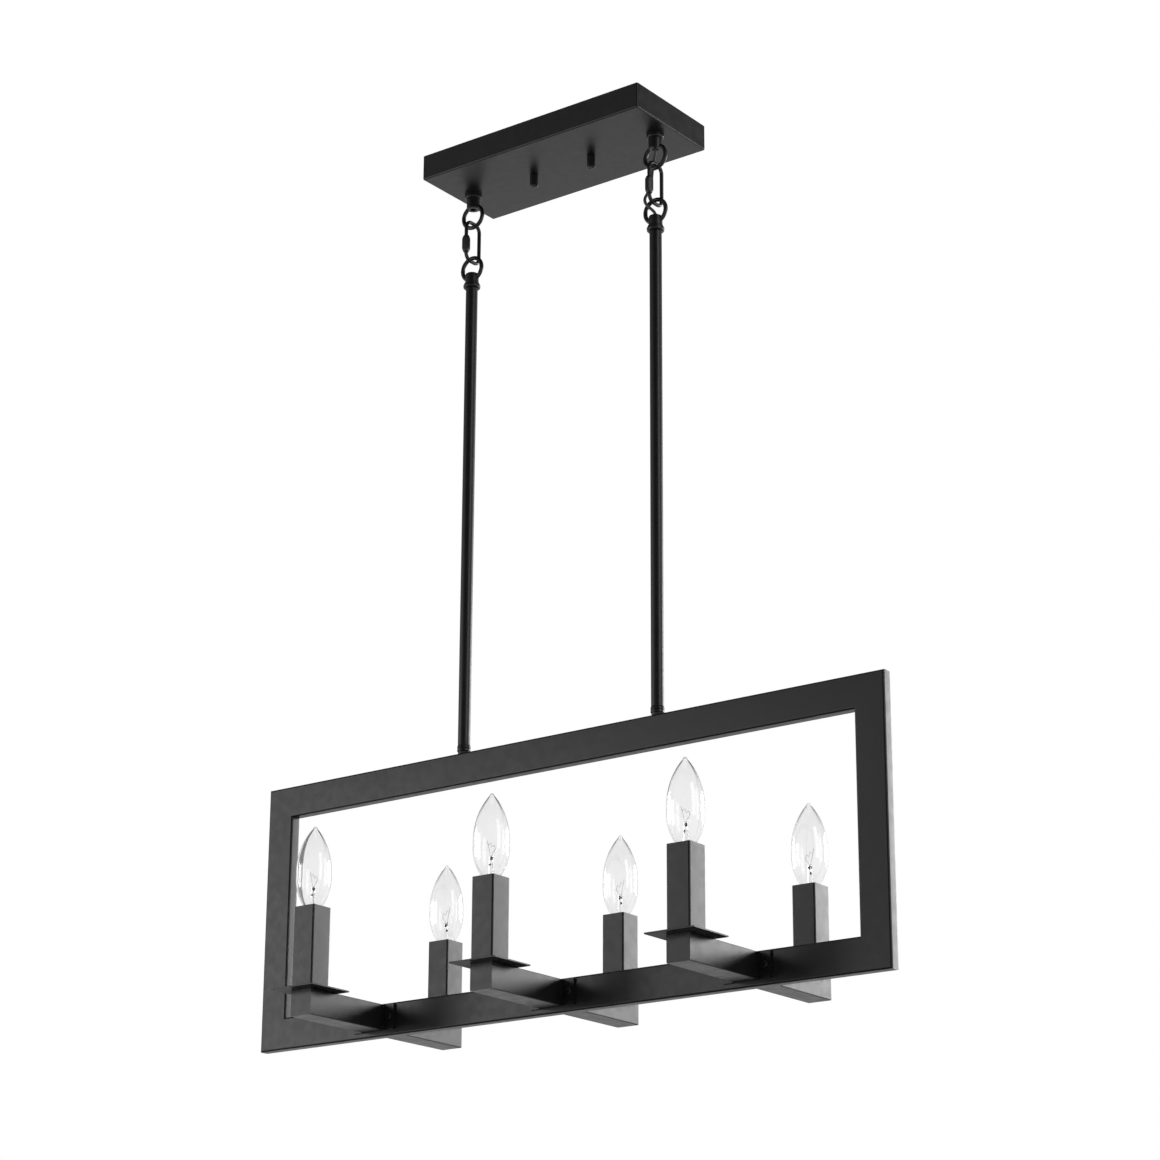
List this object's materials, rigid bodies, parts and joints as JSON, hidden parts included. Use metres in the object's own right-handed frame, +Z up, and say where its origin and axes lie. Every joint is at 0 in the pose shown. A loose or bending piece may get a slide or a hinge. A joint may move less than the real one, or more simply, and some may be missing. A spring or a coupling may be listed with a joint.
{
  "type": "linear island pendant",
  "caption": "Ceiling light: an open rectangular frame on rods and links below a canopy, with cross arms carrying upright square candle lights with torpedo bulbs.",
  "frame": {"origin": "middle of the ceiling bracket's top face, in the plane of the ceiling", "axes": "+X along the frame to the side where the supply cord comes down, +Y across the frame to the back, +Z up"},
  "size_m": [0.762, 0.264, 0.9354],
  "materials": {
    "black_coat": "satin black powder coat",
    "black_screw": "black oxide",
    "zinc_steel": "zinc plated",
    "clear_glass": "clear",
    "bulb_base_metal": "dull nickelled brass",
    "holder_plastic": "moulded, matt",
    "cord_jacket": "soft dark jacket"
  },
  "bodies": {
    "canopy": {"canopy_pan": "black_coat", "mounting_bracket": "zinc_steel", "canopy_studs": "zinc_steel", "canopy_lock_nuts": "zinc_steel", "loop_collars": "black_coat", "canopy_loop_left": "black_coat", "canopy_loop_right": "black_coat", "canopy_lead": "cord_jacket", "supply_cord_upper": "cord_jacket"},
    "thumb_nut_left": {"thumb_nut_left": "black_coat"},
    "thumb_nut_right": {"thumb_nut_right": "black_coat"},
    "link_left": {"quick_link_left": "black_coat"},
    "link_right": {"quick_link_right": "black_coat"},
    "link_sleeve_left": {"link_sleeve_left": "black_coat"},
    "link_sleeve_right": {"link_sleeve_right": "black_coat"},
    "pendant": {"rod_loop_left": "black_coat", "rod_loop_right": "black_coat", "downrod_left": "black_coat", "downrod_right": "black_coat", "frame_stile_left": "black_coat", "frame_stile_right": "black_coat", "rod_couplings": "black_coat", "frame_top_rail": "black_coat", "frame_bottom_rail": "black_coat", "arm_1": "black_coat", "arm_2": "black_coat", "arm_3": "black_coat", "arm_4": "black_coat", "arm_5": "black_coat", "arm_6": "black_coat", "arm_screws": "black_screw", "drip_plate_1": "black_coat", "drip_plate_2": "black_coat", "drip_plate_3": "black_coat", "drip_plate_4": "black_coat", "drip_plate_5": "black_coat", "drip_plate_6": "black_coat", "candle_sleeve_1": "black_coat", "candle_sleeve_2": "black_coat", "candle_sleeve_3": "black_coat", "candle_sleeve_4": "black_coat", "candle_sleeve_5": "black_coat", "candle_sleeve_6": "black_coat", "lamp_holders": "holder_plastic", "holder_stems": "zinc_steel", "holder_nuts": "zinc_steel", "inner_harness": "cord_jacket", "supply_cord_lower": "cord_jacket"},
    "bulb_1": {"bulb_glass_1": "clear_glass", "bulb_base_1": "bulb_base_metal"},
    "bulb_2": {"bulb_glass_2": "clear_glass", "bulb_base_2": "bulb_base_metal"},
    "bulb_3": {"bulb_glass_3": "clear_glass", "bulb_base_3": "bulb_base_metal"},
    "bulb_4": {"bulb_glass_4": "clear_glass", "bulb_base_4": "bulb_base_metal"},
    "bulb_5": {"bulb_glass_5": "clear_glass", "bulb_base_5": "bulb_base_metal"},
    "bulb_6": {"bulb_glass_6": "clear_glass", "bulb_base_6": "bulb_base_metal"}
  },
  "joints": [
    {"name": "upper_sway_right", "type": "hinge", "parent": "canopy", "child": "link_right", "pos_m": [0.121, 0, -0.06675], "axis": [1, 0, 0], "range_deg": [-30, 30], "deforming": ["supply_cord_upper"]},
    {"name": "lower_sway", "type": "hinge", "parent": "link_right", "child": "pendant", "pos_m": [0.121, 0, -0.10315], "axis": [1, 0, 0], "range_deg": [-30, 30], "deforming": ["supply_cord_lower"]},
    {"name": "upper_sway_left", "type": "hinge", "parent": "canopy", "child": "link_left", "pos_m": [-0.121, 0, -0.06675], "axis": [1, 0, 0], "range_deg": [-30, 30]},
    {"name": "sleeve_screw_left", "type": "slide", "parent": "link_left", "child": "link_sleeve_left", "axis": [0, 0, 1], "range_m": [0, 0.0076]},
    {"name": "sleeve_screw_right", "type": "slide", "parent": "link_right", "child": "link_sleeve_right", "axis": [0, 0, 1], "range_m": [0, 0.0076]},
    {"name": "thumb_nut_off_left", "type": "slide", "parent": "canopy", "child": "thumb_nut_left", "axis": [0, 0, -1], "range_m": [0, 0.012]},
    {"name": "thumb_nut_off_right", "type": "slide", "parent": "canopy", "child": "thumb_nut_right", "axis": [0, 0, -1], "range_m": [0, 0.012]},
    {"name": "bulb_out_1", "type": "slide", "parent": "pendant", "child": "bulb_1", "axis": [0, 0, 1], "range_m": [0, 0.03]},
    {"name": "bulb_out_2", "type": "slide", "parent": "pendant", "child": "bulb_2", "axis": [0, 0, 1], "range_m": [0, 0.03]},
    {"name": "bulb_out_3", "type": "slide", "parent": "pendant", "child": "bulb_3", "axis": [0, 0, 1], "range_m": [0, 0.03]},
    {"name": "bulb_out_4", "type": "slide", "parent": "pendant", "child": "bulb_4", "axis": [0, 0, 1], "range_m": [0, 0.03]},
    {"name": "bulb_out_5", "type": "slide", "parent": "pendant", "child": "bulb_5", "axis": [0, 0, 1], "range_m": [0, 0.03]},
    {"name": "bulb_out_6", "type": "slide", "parent": "pendant", "child": "bulb_6", "axis": [0, 0, 1], "range_m": [0, 0.03]}
  ],
  "couplings": [
    {"joint": "upper_sway_left", "follows": "upper_sway_right", "ratio": 1}
  ]
}
